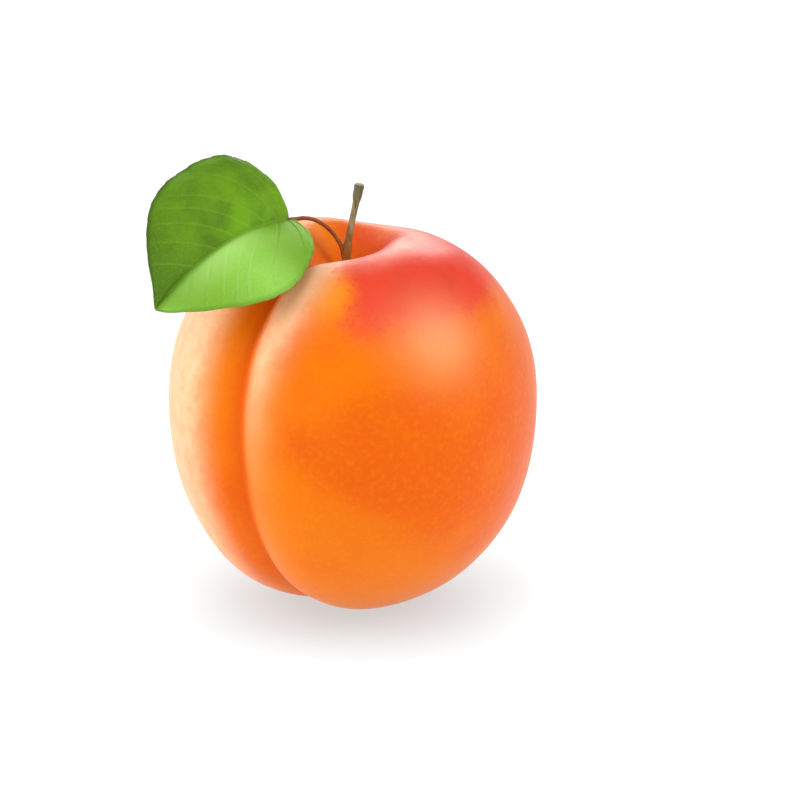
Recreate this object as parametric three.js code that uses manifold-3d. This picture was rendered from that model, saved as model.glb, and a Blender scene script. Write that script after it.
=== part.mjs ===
// A ripe apricot with its stub of fruiting twig and one leaf.
//
// Units are millimetres. +Z runs up the stem, the suture faces -Y but for a slight turn, and the
// origin is the middle of the small flat spot that the fruit rests on. Angles round the stem are
// counted from -Y towards +X.

import * as THREE from 'three';
import { mergeVertices } from 'three/addons/utils/BufferGeometryUtils.js';
import Module from 'manifold-3d';

const wasm = await Module();
wasm.setup();

const { clamp, degToRad, lerp } = THREE.MathUtils;

// ---------------------------------------------------------------- driving dimensions

// The fruit's body, before the groove, the cavity and the resting spot are cut from it.
const FRUIT_WIDTH = 50.0;
const FRUIT_DEPTH = 48.6;
const CROWN_HEIGHT = 24.7;
const BASE_HEIGHT = 28.35;
const BODY_FULLNESS = 2.16;
const BODY_LEAN_X = 0.02;
const BODY_LEAN_Y = -0.02;
const REST_CUT = 0.55;
const CENTRE_Z = BASE_HEIGHT - REST_CUT;

// The stem cavity is a little longer than it is wide.
const CAVITY_DEPTH = 7.2;
const CAVITY_RADIUS = 6.24;
const CAVITY_STRETCH = 0.25;
const CAVITY_TURN = degToRad(19);
const CAVITY_STEEPNESS = 2.3;

// Round the cavity, the shoulder stands higher at the back and dips on the right.
const SHOULDER_RADIUS = 9.5;
const SHOULDER_SPREAD = 3.2;
const SHOULDER_ROUNDNESS = 3.5;
const BACK_SHOULDER = { rise: 0.85, turn: degToRad(232) };
const RIGHT_SHOULDER = { rise: -0.9, turn: degToRad(120) };

// The suture is a sharp crease between two soft lobes.
const SUTURE_TURN = degToRad(-2.3);
const GROOVE_DEPTH_TOP = 2.6;
const GROOVE_DEPTH_BOTTOM = 2.0;
const GROOVE_WIDTH = 2.3;
const GROOVE_ROUNDING = 0.35;
const GROOVE_FADE = 0.15;
const GROOVE_START = 0.6;
const GROOVE_SIDE_BLEND = 1.2;
const LOBE_RISE = 0.5;
const LOBE_OFFSET = 7.5;
const LOBE_SPREAD = 4.5;

const FRUIT_MERIDIANS = 76;
const FRUIT_RINGS = 48;
const GROOVE_CROWDING = 0.55;
const CAVITY_CROWDING = 1.3;

// The twig stub stands in the cavity and ends in a cut knob.
const TWIG_FOOT = new THREE.Vector3(-0.52, -0.38, 45.35);
const TWIG_BEND = new THREE.Vector3(-0.42, -0.36, 51.5);
const TWIG_TIP = new THREE.Vector3(0.88, 0.65, 57.6);
const TWIG_FOOT_RADIUS = 0.78;
const TWIG_NODE_RADIUS = 0.68;
const TWIG_RADIUS = 0.48;
const TWIG_KNOB_RADIUS = 0.65;
const TWIG_SIDES = 14;

// The leaf stalk arches from the twig over the shoulder to the blade.
const STALK_RADIUS = 0.33;
const STALK_SIDES = 10;
const STALK_STEPS = 26;
const STALK_ROUTE = [
  new THREE.Vector3(-1.32, -1.1, 49.35),
  new THREE.Vector3(-1.84, -1.56, 50.8),
  new THREE.Vector3(-2.6, -2.38, 52.05),
  new THREE.Vector3(-3.5, -3.35, 52.9),
  new THREE.Vector3(-4.6, -4.4, 53.25),
  new THREE.Vector3(-5.4, -5.5, 53.15),
];

// The blade folds upwards along its midrib.
const MIDRIB = new THREE.CubicBezierCurve3(
  new THREE.Vector3(-5.6, -6.06, 53.07),
  new THREE.Vector3(-5.6, -12.6, 54.15),
  new THREE.Vector3(-11.1, -16.15, 50.95),
  new THREE.Vector3(-9.45, -28.2, 45.4),
);
const BLADE_THICKNESS = 0.7;
const BLADE_ROLL = degToRad(-36.7);
const BLADE_FOLD = degToRad(31.7);

// Its halves are unlike: the outer one is drawn out into the tip, the inner one is broader.
const OUTER_HALF = {
  side: -1, width: 12.45, widest: 0.93, fullness: 1.25, lobe: 0.93, point: 0.3, curl: -0.077, curlTrend: 0,
};
const INNER_HALF = {
  side: 1, width: 13.55, widest: 1.13, fullness: 1.1, lobe: 0.2, point: 0, curl: -0.026, curlTrend: 0.023,
};
const LOBE_REACH = 1.6;
const BLADE_FOOT_WIDTH = 0.35;
const BLADE_TIP_WIDTH = 0.1;
const MIDRIB_RISE = 0.35;
const MIDRIB_WIDTH = 0.7;
const VEIN_SWEEP = 1.6;
const TEETH = 22;
const TOOTH_DEPTH = 0.32;
const ROWS_PER_TOOTH = 3;
const HALF_COLUMNS = 6;
const COLUMN_CROWDING = 1.3;

// ---------------------------------------------------------------- materials

function finish(colour, roughness) {
  return new THREE.MeshStandardMaterial({ color: colour, roughness, metalness: 0 });
}

const SKIN = finish(0xf28a1e, 0.55);
const TWIG_BARK = finish(0x6e5a2c, 0.85);
const STALK_RIND = finish(0x7a3b2b, 0.6);
const LEAF_GREEN = finish(0x5f9b2a, 0.5);

// ---------------------------------------------------------------- solids

function toManifold(geometry) {
  const bare = geometry.clone();
  bare.deleteAttribute('normal');
  bare.deleteAttribute('uv');
  const merged = mergeVertices(bare, 1e-4);
  return new wasm.Manifold(new wasm.Mesh({
    numProp: 3,
    vertProperties: new Float32Array(merged.attributes.position.array),
    triVerts: new Uint32Array(merged.index.array),
  }));
}

function toGeometry(solid) {
  const mesh = solid.getMesh();
  const geometry = new THREE.BufferGeometry();
  geometry.setAttribute('position', new THREE.BufferAttribute(new Float32Array(mesh.vertProperties), 3));
  geometry.setIndex(new THREE.BufferAttribute(new Uint32Array(mesh.triVerts), 1));
  geometry.computeVertexNormals();
  return geometry;
}

function moveVertices(geometry, move) {
  const position = geometry.attributes.position;
  const point = new THREE.Vector3();
  for (let i = 0; i < position.count; i += 1) {
    point.fromBufferAttribute(position, i);
    move(point);
    position.setXYZ(i, point.x, point.y, point.z);
  }
  return geometry;
}

// ---------------------------------------------------------------- fruit

function bell(distance, spread) {
  return Math.exp(-((distance / spread) ** 2));
}

// Distance from the fruit's centre to its plain body, along a unit direction.
function bodyRadius(direction) {
  const across = (direction.x - BODY_LEAN_X * direction.z) / (FRUIT_WIDTH / 2);
  const along = (direction.y - BODY_LEAN_Y * direction.z) / (FRUIT_DEPTH / 2);
  const reach = direction.z > 0 ? CROWN_HEIGHT : BASE_HEIGHT;
  const girth = Math.hypot(across, along) ** BODY_FULLNESS;
  const height = Math.abs(direction.z / reach) ** BODY_FULLNESS;
  return (girth + height) ** (-1 / BODY_FULLNESS);
}

function cavityDepth(fromStem, turn) {
  const stretch = 1 + CAVITY_STRETCH * Math.cos(2 * (turn - CAVITY_TURN));
  const reach = fromStem / (CAVITY_RADIUS * stretch);
  return CAVITY_DEPTH * Math.exp(-(reach ** CAVITY_STEEPNESS));
}

function shoulderRise(fromStem, turn) {
  const ring = bell(fromStem - SHOULDER_RADIUS, SHOULDER_SPREAD);
  let rises = 0;
  for (const part of [BACK_SHOULDER, RIGHT_SHOULDER]) {
    rises += part.rise * Math.exp(SHOULDER_ROUNDNESS * (Math.cos(turn - part.turn) - 1));
  }
  return rises * ring;
}

// How far the crease sinks and its lobes swell, where down runs from 0 at the stem to 1 at the base.
function sutureSink(fromStem, turn, down) {
  const offset = Math.abs(Math.sin(turn - SUTURE_TURN) * fromStem);
  const front = 1 / (1 + Math.exp(-Math.cos(turn - SUTURE_TURN) * fromStem / GROOVE_SIDE_BLEND));
  const start = lerp(GROOVE_START, 1, clamp(down / GROOVE_FADE, 0, 1));
  const end = clamp((1 - down) / GROOVE_FADE, 0, 1);
  const depth = lerp(GROOVE_DEPTH_TOP, GROOVE_DEPTH_BOTTOM, down) * start * end;
  const crease = Math.exp(-(Math.hypot(offset, GROOVE_ROUNDING) - GROOVE_ROUNDING) / GROOVE_WIDTH);
  const lobes = LOBE_RISE * bell(offset - LOBE_OFFSET, LOBE_SPREAD) * Math.sin(Math.PI * down);
  return (depth * crease - lobes) * front;
}

// A point of the skin, from its polar angle below the stem and its turn round the stem.
function skinPoint(polar, turn, target) {
  target.set(Math.sin(polar) * Math.sin(turn), -Math.sin(polar) * Math.cos(turn), Math.cos(polar));
  const radius = bodyRadius(target);
  const fromStem = radius * Math.sin(polar);
  const sink = sutureSink(fromStem, turn, polar / Math.PI);
  const crown = target.z > 0 ? cavityDepth(fromStem, turn) - shoulderRise(fromStem, turn) : 0;
  target.multiplyScalar(radius - sink);
  target.z += CENTRE_Z - crown;
}

function makeFruit() {
  const ball = new THREE.SphereGeometry(1, FRUIT_MERIDIANS, FRUIT_RINGS);
  moveVertices(ball, (point) => {
    const down = Math.acos(clamp(point.y, -1, 1)) / Math.PI;
    const around = Math.atan2(point.x, point.z);
    const turn = around - GROOVE_CROWDING * Math.sin(around) + SUTURE_TURN;
    skinPoint(Math.PI * down ** CAVITY_CROWDING, turn, point);
  });
  const ground = new THREE.BoxGeometry(FRUIT_WIDTH, FRUIT_WIDTH, FRUIT_WIDTH);
  ground.translate(0, 0, -FRUIT_WIDTH / 2);
  return toGeometry(toManifold(ball).subtract(toManifold(ground)));
}

// ---------------------------------------------------------------- twig

function makeTwig() {
  const route = new THREE.QuadraticBezierCurve3(TWIG_FOOT, TWIG_BEND, TWIG_TIP);
  const outline = [
    [0, 0],
    [TWIG_FOOT_RADIUS, 0],
    [TWIG_FOOT_RADIUS * 0.86, 0.06],
    [TWIG_RADIUS * 1.22, 0.14],
    [TWIG_RADIUS * 1.22, 0.2],
    [TWIG_NODE_RADIUS, 0.26],
    [TWIG_NODE_RADIUS, 0.33],
    [TWIG_RADIUS * 1.08, 0.42],
    [TWIG_RADIUS, 0.6],
    [TWIG_RADIUS * 0.98, 0.8],
    [TWIG_KNOB_RADIUS * 0.94, 0.86],
    [TWIG_KNOB_RADIUS, 0.91],
    [TWIG_KNOB_RADIUS * 0.94, 0.97],
    [TWIG_KNOB_RADIUS * 0.72, 1],
    [0, 1],
  ].map(([radius, along]) => new THREE.Vector2(radius, along));
  const twig = new THREE.LatheGeometry(outline, TWIG_SIDES);
  const centre = new THREE.Vector3();
  moveVertices(twig, (point) => {
    route.getPoint(clamp(point.y, 0, 1), centre);
    point.set(centre.x + point.z, centre.y + point.x, centre.z);
  });
  return toGeometry(toManifold(twig));
}

// ---------------------------------------------------------------- leaf

function makeLeafStalk() {
  const section = new THREE.Shape().absarc(0, 0, STALK_RADIUS, 0, 2 * Math.PI);
  const stalk = new THREE.ExtrudeGeometry(section, {
    steps: STALK_STEPS,
    curveSegments: STALK_SIDES / 2,
    bevelEnabled: false,
    extrudePath: new THREE.CatmullRomCurve3(STALK_ROUTE),
  });
  return toGeometry(toManifold(stalk));
}

// The saw of the margin: 0 in the notches, rising slowly and dropping sharply towards the tip.
function tooth(along) {
  const phase = (along * TEETH) % 1;
  return TOOTH_DEPTH * phase * Math.min(1, 6 * along) * (1 - along);
}

// A point of the flat blade: how far along the midrib it lies and how far out from it.
function flatPoint(half, along, out, length) {
  const round = (1 - Math.cos(Math.PI * along)) / 2;
  const pointed = 1 - Math.cos(Math.PI * along / 2);
  const edgeAlong = lerp(round, pointed, half.point);
  const lobe = half.lobe * Math.sin(Math.PI * Math.min(1, LOBE_REACH * along)) ** 1.5;
  const edgeOut = half.width * Math.sin(Math.PI * Math.min(1, along ** half.widest)) ** half.fullness;
  const rim = edgeOut + lerp(BLADE_FOOT_WIDTH, BLADE_TIP_WIDTH, along) + tooth(along);
  const edge = edgeAlong - (lobe / length) * (1 - along);
  return [lerp(along ** VEIN_SWEEP, edge, out), rim * out];
}

// The blade's own axes at a place on the midrib: tangent, sideways and up.
function bladeAxes(along) {
  const tangent = MIDRIB.getTangent(clamp(along, 0, 1));
  const level = new THREE.Vector3(0, 0, 1).cross(tangent).normalize();
  const upright = tangent.clone().cross(level);
  const sideways = level.clone().multiplyScalar(Math.cos(BLADE_ROLL));
  sideways.addScaledVector(upright, Math.sin(BLADE_ROLL));
  const up = upright.clone().multiplyScalar(Math.cos(BLADE_ROLL));
  up.addScaledVector(level, -Math.sin(BLADE_ROLL));
  return { sideways, up };
}

// A point of the folded blade, lifted off its middle surface by a height.
function bladePoint(half, along, out, face, target) {
  const length = MIDRIB.getLength();
  const [place, reach] = flatPoint(half, along, out, length);
  const { sideways, up } = bladeAxes(place);
  const curl = half.curl + half.curlTrend * (2 * place - 1);
  const bend = Math.abs(curl) < 1e-4 ? 1e-4 : curl;
  const slope = BLADE_FOLD + bend * reach;
  MIDRIB.getPoint(clamp(place, 0, 1), target);
  const behind = MIDRIB.getTangent(0).multiplyScalar(Math.min(place, 0) * length);
  target.add(behind);
  target.addScaledVector(sideways, half.side * (Math.sin(slope) - Math.sin(BLADE_FOLD)) / bend);
  target.addScaledVector(up, (Math.cos(BLADE_FOLD) - Math.cos(slope)) / bend);
  const rib = face < 0 ? MIDRIB_RISE * bell(reach, MIDRIB_WIDTH) * (1 - along) : 0;
  const lift = face * (BLADE_THICKNESS / 2 + rib);
  const tilt = out === 0 ? 0 : slope;
  const stretch = out === 0 ? 1 / Math.cos(BLADE_FOLD) : 1;
  target.addScaledVector(sideways, -half.side * Math.sin(tilt) * lift);
  target.addScaledVector(up, Math.cos(tilt) * lift * stretch);
}

// Two like-triangulated faces of one flat sheet, closed by a rim.
function thickSheet(columns, rows, place) {
  const sheet = new THREE.PlaneGeometry(2, 1, columns, rows);
  const count = sheet.attributes.position.count;
  const points = new Float32Array(2 * count * 3);
  const point = new THREE.Vector3();
  for (let i = 0; i < 2 * count; i += 1) {
    point.fromBufferAttribute(sheet.attributes.position, i % count);
    place(point.x, 0.5 - point.y, i < count ? 1 : -1, point);
    point.toArray(points, 3 * i);
  }
  const upper = Array.from(sheet.index.array);
  const faces = [...upper];
  for (let i = 0; i < upper.length; i += 3) {
    faces.push(upper[i] + count, upper[i + 2] + count, upper[i + 1] + count);
  }
  const wide = columns + 1;
  const loop = [];
  for (let c = 0; c < columns; c += 1) loop.push(c);
  for (let r = 0; r < rows; r += 1) loop.push(r * wide + columns);
  for (let c = columns; c > 0; c -= 1) loop.push(rows * wide + c);
  for (let r = rows; r > 0; r -= 1) loop.push(r * wide);
  loop.forEach((a, k) => {
    const b = loop[(k + 1) % loop.length];
    faces.push(a, b, b + count, a, b + count, a + count);
  });
  const solid = new THREE.BufferGeometry();
  solid.setAttribute('position', new THREE.BufferAttribute(points, 3));
  solid.setIndex(faces);
  return solid;
}

function makeLeafBlade() {
  const rows = TEETH * ROWS_PER_TOOTH;
  const blade = thickSheet(2 * HALF_COLUMNS, rows, (across, along, face, target) => {
    const half = across < 0 ? OUTER_HALF : INNER_HALF;
    bladePoint(half, along, Math.abs(across) ** COLUMN_CROWDING, face, target);
  });
  return toGeometry(toManifold(blade));
}

// ---------------------------------------------------------------- assembly

function piece(name, geometry, material) {
  const mesh = new THREE.Mesh(geometry, material);
  mesh.name = name;
  return mesh;
}

const apricot = new THREE.Group();
apricot.add(
  piece('fruit', makeFruit(), SKIN),
  piece('twig', makeTwig(), TWIG_BARK),
  piece('leaf_stalk', makeLeafStalk(), STALK_RIND),
  piece('leaf_blade', makeLeafBlade(), LEAF_GREEN),
);

export default apricot;
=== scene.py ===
# %% [markdown]
# # A ripe apricot with its twig and one leaf
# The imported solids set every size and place. This lesson dresses them: velvety blushed skin, bark,
# a leaf stalk and a thin veined leaf blade, on a pale floor in soft studio light.

# %% Load the frame
import math

import bmesh
import bpy
import numpy as np
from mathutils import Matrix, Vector, noise


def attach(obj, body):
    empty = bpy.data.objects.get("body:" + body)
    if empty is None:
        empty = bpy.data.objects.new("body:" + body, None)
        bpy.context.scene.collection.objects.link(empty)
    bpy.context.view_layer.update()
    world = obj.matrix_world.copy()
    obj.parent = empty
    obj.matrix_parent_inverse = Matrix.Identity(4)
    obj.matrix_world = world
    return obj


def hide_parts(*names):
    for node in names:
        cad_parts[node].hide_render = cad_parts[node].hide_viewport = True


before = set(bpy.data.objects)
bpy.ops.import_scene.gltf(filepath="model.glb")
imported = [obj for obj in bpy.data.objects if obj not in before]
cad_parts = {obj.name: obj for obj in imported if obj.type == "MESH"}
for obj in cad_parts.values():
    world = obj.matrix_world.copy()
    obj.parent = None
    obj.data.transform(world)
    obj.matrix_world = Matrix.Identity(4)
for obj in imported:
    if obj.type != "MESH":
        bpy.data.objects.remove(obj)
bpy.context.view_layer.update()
MM = 0.001

# %% [markdown]
# ## Camera
# The fruit is seen from a little above and from the right of its crease, with a long lens, so it
# keeps its true proportions. The camera is placed from an azimuth, an elevation and a distance,
# which are easier to correct one at a time than a position and three angles.

# %% Camera
VIEW_AZIMUTH = math.radians(36.4)
VIEW_ELEVATION = math.radians(18.0)
VIEW_DISTANCE = 320 * MM
VIEW_TARGET = Vector((5.04, 3.95, 27.8)) * MM


def direction(azimuth, elevation):
    """The unit vector that points from the fruit towards an azimuth and elevation."""
    level = math.cos(elevation)
    return Vector((math.sin(azimuth) * level, -math.cos(azimuth) * level, math.sin(elevation)))


def aim(thing, place, target):
    """Puts a camera or a light somewhere and turns it to look at a point."""
    thing.location = place
    thing.rotation_euler = (target - place).to_track_quat("-Z", "Y").to_euler()


lens = bpy.data.cameras.new("portrait_lens")
lens.lens = 106.9
lens.sensor_width = 36.0
lens.clip_start = 0.01
lens.clip_end = 20.0
camera = bpy.data.objects.new("camera", lens)
bpy.context.collection.objects.link(camera)
aim(camera, VIEW_TARGET + direction(VIEW_AZIMUTH, VIEW_ELEVATION) * VIEW_DISTANCE, VIEW_TARGET)
bpy.context.scene.camera = camera
print("camera at", [round(v / MM) for v in camera.location], "mm")

# %% [markdown]
# ## Studio
# Large soft lamps suit a velvety skin: the down picks up their light at grazing angles and draws a
# pale rim. The strongest lamp stands well to the left, so the left cheek and the lip of the crease
# turn pale and the front keeps its full colour. One at the upper right gives the broad gleam on
# the shoulder, one overhead lights the leaf, one behind lights the rim of the cavity, and a weak low
# one in front fills the shade under the leaf. The room is white at eye level and dimmer above,
# which keeps the background white without washing out the fruit.

# %% Studio light and floor
KEEP_COLOURS_AS_MIXED = "Standard"
bpy.context.scene.view_settings.view_transform = KEEP_COLOURS_AS_MIXED

ROOM_AT_EYE_LEVEL = 1.0
ROOM_ABOVE = 0.26
ROOM_DIMS_BETWEEN = (0.13, 0.26)
surroundings = bpy.data.worlds.new("white_room")
surroundings.use_nodes = True
room = surroundings.node_tree
look = room.nodes.new("ShaderNodeTexCoord")
heights = room.nodes.new("ShaderNodeSeparateXYZ")
dimming = room.nodes.new("ShaderNodeMapRange")
for number, value in enumerate((*ROOM_DIMS_BETWEEN, ROOM_AT_EYE_LEVEL, ROOM_ABOVE), start=1):
    dimming.inputs[number].default_value = value
room.links.new(look.outputs["Generated"], heights.inputs[0])
room.links.new(heights.outputs["Z"], dimming.inputs["Value"])
room.links.new(dimming.outputs[0], room.nodes["Background"].inputs["Strength"])
room.nodes["Background"].inputs["Color"].default_value = (1.0, 1.0, 1.0, 1.0)
bpy.context.scene.world = surroundings

LAMPS = {
    "left_softbox": {"azimuth": -66, "elevation": 7, "distance": 0.42, "size": 0.46, "power": 2.1},
    "right_softbox": {"azimuth": 108, "elevation": 36, "distance": 0.45, "size": 0.24, "power": 0.78},
    "top_softbox": {"azimuth": 8, "elevation": 62, "distance": 0.50, "size": 0.38, "power": 0.95},
    "front_softbox": {"azimuth": 4, "elevation": 4, "distance": 0.60, "size": 0.50, "power": 0.6},
    "back_softbox": {"azimuth": 213, "elevation": 28, "distance": 0.50, "size": 0.20, "power": 0.7},
}


def softbox(name, azimuth, elevation, distance, size, power):
    """A square area lamp round the fruit."""
    data = bpy.data.lights.new(name, "AREA")
    data.shape = "SQUARE"
    data.size = size
    data.energy = power
    lamp = bpy.data.objects.new(name, data)
    bpy.context.collection.objects.link(lamp)
    place = direction(math.radians(azimuth), math.radians(elevation)) * distance
    aim(lamp, place + VIEW_TARGET, VIEW_TARGET)


for name, lamp in LAMPS.items():
    softbox(name, **lamp)

FLOOR_RADIUS = 3.0
FLOOR_SIDES = 96
floor_shape = bmesh.new()
bmesh.ops.create_circle(floor_shape, cap_ends=True, segments=FLOOR_SIDES, radius=FLOOR_RADIUS)
floor_mesh = bpy.data.meshes.new("floor")
floor_shape.to_mesh(floor_mesh)
floor_shape.free()
floor = bpy.data.objects.new("floor", floor_mesh)
bpy.context.collection.objects.link(floor)
print("lamps:", list(LAMPS))

# %% [markdown]
# ## Mixing finishes
# Every finish is a small network of nodes. A few helpers keep the recipes short enough to read:
# one adds a node with its settings, others stand for the patterns that all the finishes share.

# %% Helpers for finishes


def paint(red, green, blue):
    """A colour as seen on a screen, 0 to 255, in the linear numbers that Blender mixes."""
    def linear(value):
        value /= 255
        return value / 12.92 if value <= 0.04045 else ((value + 0.055) / 1.055) ** 2.4
    return (linear(red), linear(green), linear(blue), 1.0)


class Finish:
    """A material whose pattern nodes are added one by one."""

    def __init__(self, name):
        self.material = bpy.data.materials.new(name)
        self.material.use_nodes = True
        self.tree = self.material.node_tree
        self.shader = self.tree.nodes["Principled BSDF"]
        self.place = self.add("ShaderNodeTexCoord").outputs["Object"]

    def add(self, kind, inputs=(), **settings):
        """A node with its settings, its inputs joined to other nodes or set to a value."""
        made = self.tree.nodes.new(kind)
        for key, value in settings.items():
            setattr(made, key, value)
        for key, value in dict(inputs).items():
            self.feed(made.inputs[key], value)
        return made

    def feed(self, socket, value):
        if isinstance(value, bpy.types.NodeSocket):
            self.tree.links.new(value, socket)
        else:
            socket.default_value = value

    def attribute(self, name):
        return self.add("ShaderNodeAttribute", attribute_name=name).outputs["Fac"]

    def stretched(self, scale):
        return self.add("ShaderNodeMapping", {"Vector": self.place, "Scale": scale}).outputs[0]

    def clouds(self, per_metre, detail=2.0, rough=0.5, where=None):
        """Soft noise from 0 to 1, on the piece's own coordinates unless told where."""
        inputs = {"Vector": where or self.place, "Scale": per_metre}
        inputs.update({"Detail": detail, "Roughness": rough})
        return self.add("ShaderNodeTexNoise", inputs).outputs[0]

    def cells(self, per_metre, feature="F1", where=None):
        """Distance to the middle of the nearest cell, or to its edge."""
        inputs = {"Vector": where or self.place, "Scale": per_metre}
        return self.add("ShaderNodeTexVoronoi", inputs, feature=feature).outputs["Distance"]

    def ramp(self, value, low, high, start=0.0, end=1.0):
        """A smooth change from start to end, as a value goes from low to high."""
        inputs = {"Value": value, 1: low, 2: high, 3: start, 4: end}
        return self.add("ShaderNodeMapRange", inputs, interpolation_type="SMOOTHSTEP").outputs[0]

    def maths(self, operation, first, second=0.0):
        return self.add("ShaderNodeMath", {0: first, 1: second}, operation=operation).outputs[0]

    def times(self, first, second):
        return self.maths("MULTIPLY", first, second)

    def blend(self, amount, first, second):
        """The first colour, with the second laid over it by an amount from 0 to 1."""
        inputs = {0: amount, 6: first, 7: second}
        return self.add("ShaderNodeMix", inputs, data_type="RGBA").outputs[2]

    def bump(self, height, depth, over=None):
        """Relief of a depth in metres, laid over another relief if there is one."""
        inputs = {"Height": height, "Distance": depth, "Strength": 1.0}
        if over is not None:
            inputs["Normal"] = over
        return self.add("ShaderNodeBump", inputs).outputs[0]

    def set(self, **values):
        """Sets the shader's own inputs, or joins nodes to them."""
        for key, value in values.items():
            self.feed(self.shader.inputs[key.replace("_", " ")], value)
        return self.material


print("finish helpers ready")

# %% [markdown]
# ## Floor finish
# The floor glows almost white, and less so under the fruit, which paints a soft dark shadow there.

# %% Floor finish
GLOW_IN_PAINTED_SHADOW = 0.57
GLOW_FAR_AWAY = 0.94
PAINTED_SHADOW_FADES = (6 * MM, 34 * MM)
FLOOR_GREY = paint(100, 112, 114)
plain_floor = Finish("pale_floor")
# A painted shadow: the floor's glow is lower close to the fruit.
from_fruit = plain_floor.add("ShaderNodeVectorMath", {0: plain_floor.place}, operation="LENGTH")
glow = plain_floor.ramp(from_fruit.outputs["Value"], *PAINTED_SHADOW_FADES, GLOW_IN_PAINTED_SHADOW, GLOW_FAR_AWAY)
plain_floor.set(Base_Color=FLOOR_GREY, Roughness=0.9)
plain_floor.set(Emission_Color=paint(255, 255, 255), Emission_Strength=glow)
floor.data.materials.append(plain_floor.material)
print("floor glow from", GLOW_IN_PAINTED_SHADOW, "to", GLOW_FAR_AWAY)

# %% [markdown]
# ## Keeping pieces
# Each piece is made as a shape, then kept as an object that stands for one solid of the frame.
# Numbers worked out for each vertex are kept with it, for its finish to read.

# %% Helpers for pieces


def keep_piece(name, shape, node):
    """Makes a shape into an object that stands for a solid of the frame."""
    mesh = bpy.data.meshes.new(name)
    shape.to_mesh(mesh)
    shape.free()
    mesh.shade_smooth()
    piece = bpy.data.objects.new(name, mesh)
    bpy.context.collection.objects.link(piece)
    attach(piece, "root")
    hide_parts(node)
    return piece


def keep_field(piece, name, values):
    """Stores one number for each vertex of a piece."""
    layer = piece.data.attributes.new(name, "FLOAT", "POINT")
    layer.data.foreach_set("value", np.asarray(values, dtype=np.float32))


print("piece helpers ready")

# %% [markdown]
# ## Fruit
# An apricot is a slightly tall globe with a crease down one side, two soft lobes beside it and a
# cavity round the stem. The shoulder round the cavity stands higher at the back and dips on the
# right. All of that is one formula of two angles, so the piece starts as a fine sphere whose
# vertices are crowded towards the crease and the cavity, then moved onto the formula.

# %% Fruit dimensions, in millimetres
FRUIT_WIDTH = 50.0
FRUIT_DEPTH = 48.6
CROWN_HEIGHT = 24.7
BASE_HEIGHT = 28.35
BODY_FULLNESS = 2.16
BODY_LEAN = (0.02, -0.02)
REST_CUT = 0.55
CENTRE_Z = BASE_HEIGHT - REST_CUT

CAVITY_DEPTH = 7.2
CAVITY_RADIUS = 6.24
CAVITY_STRETCH = 0.25
CAVITY_TURN = math.radians(19)
CAVITY_STEEPNESS = 2.3

SHOULDER_RADIUS = 9.5
SHOULDER_SPREAD = 3.2
SHOULDER_ROUNDNESS = 3.5
BACK_SHOULDER = {"rise": 0.85, "turn": math.radians(232)}
RIGHT_SHOULDER = {"rise": -0.9, "turn": math.radians(120)}

GROOVE = {"top": 2.6, "bottom": 2.0, "width": 2.3, "rounding": 0.35, "fade": 0.15, "start": 0.6}
GROOVE_SIDE_BLEND = 1.2
SUTURE_TURN = math.radians(-2.3)
LOBE = {"rise": 0.5, "offset": 7.5, "spread": 4.5}
print("fruit", FRUIT_WIDTH, "mm wide, cavity", CAVITY_DEPTH, "mm deep")

# %% Skin formula


def bell(distance, spread):
    return np.exp(-((distance / spread) ** 2))


def smoothstep(value, low, high):
    part = np.clip((value - low) / (high - low), 0.0, 1.0)
    return part * part * (3 - 2 * part)


def body_radius(way):
    """Distance from the centre to the plain body, along unit directions."""
    across = (way[:, 0] - BODY_LEAN[0] * way[:, 2]) / (FRUIT_WIDTH / 2)
    along = (way[:, 1] - BODY_LEAN[1] * way[:, 2]) / (FRUIT_DEPTH / 2)
    reach = np.where(way[:, 2] > 0, CROWN_HEIGHT, BASE_HEIGHT)
    girth = np.hypot(across, along) ** BODY_FULLNESS
    height = np.abs(way[:, 2] / reach) ** BODY_FULLNESS
    return (girth + height) ** (-1 / BODY_FULLNESS)


def cavity_depth(from_stem, turn):
    stretch = 1 + CAVITY_STRETCH * np.cos(2 * (turn - CAVITY_TURN))
    return CAVITY_DEPTH * np.exp(-((from_stem / (CAVITY_RADIUS * stretch)) ** CAVITY_STEEPNESS))


def shoulder_rise(from_stem, turn):
    ring = bell(from_stem - SHOULDER_RADIUS, SHOULDER_SPREAD)
    rises = 0.0
    for part in (BACK_SHOULDER, RIGHT_SHOULDER):
        rises = rises + part["rise"] * np.exp(SHOULDER_ROUNDNESS * (np.cos(turn - part["turn"]) - 1))
    return rises * ring


def crease_profile(from_stem, turn):
    """1 on the crease line, falling to 0 on the cheeks, and only on the front."""
    offset = np.abs(np.sin(turn - SUTURE_TURN) * from_stem)
    front = 1 / (1 + np.exp(-np.cos(turn - SUTURE_TURN) * from_stem / GROOVE_SIDE_BLEND))
    rounded = np.hypot(offset, GROOVE["rounding"]) - GROOVE["rounding"]
    return np.exp(-rounded / GROOVE["width"]), offset, front


def suture_sink(from_stem, turn, down):
    crease, offset, front = crease_profile(from_stem, turn)
    start = GROOVE["start"] + (1 - GROOVE["start"]) * np.clip(down / GROOVE["fade"], 0, 1)
    end = np.clip((1 - down) / GROOVE["fade"], 0, 1)
    depth = (GROOVE["top"] + (GROOVE["bottom"] - GROOVE["top"]) * down) * start * end
    lobes = LOBE["rise"] * bell(offset - LOBE["offset"], LOBE["spread"]) * np.sin(math.pi * down)
    return (depth * crease - lobes) * front


print("crease depth in mm:", GROOVE["top"], "to", GROOVE["bottom"])

# %% Fruit mesh
FRUIT_MERIDIANS = 320
FRUIT_RINGS = 260
GROOVE_CROWDING = 0.55
RING_CROWDING = 0.3
UNEVENNESS = 0.16
UNEVEN_SIZE = 9.0

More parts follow.
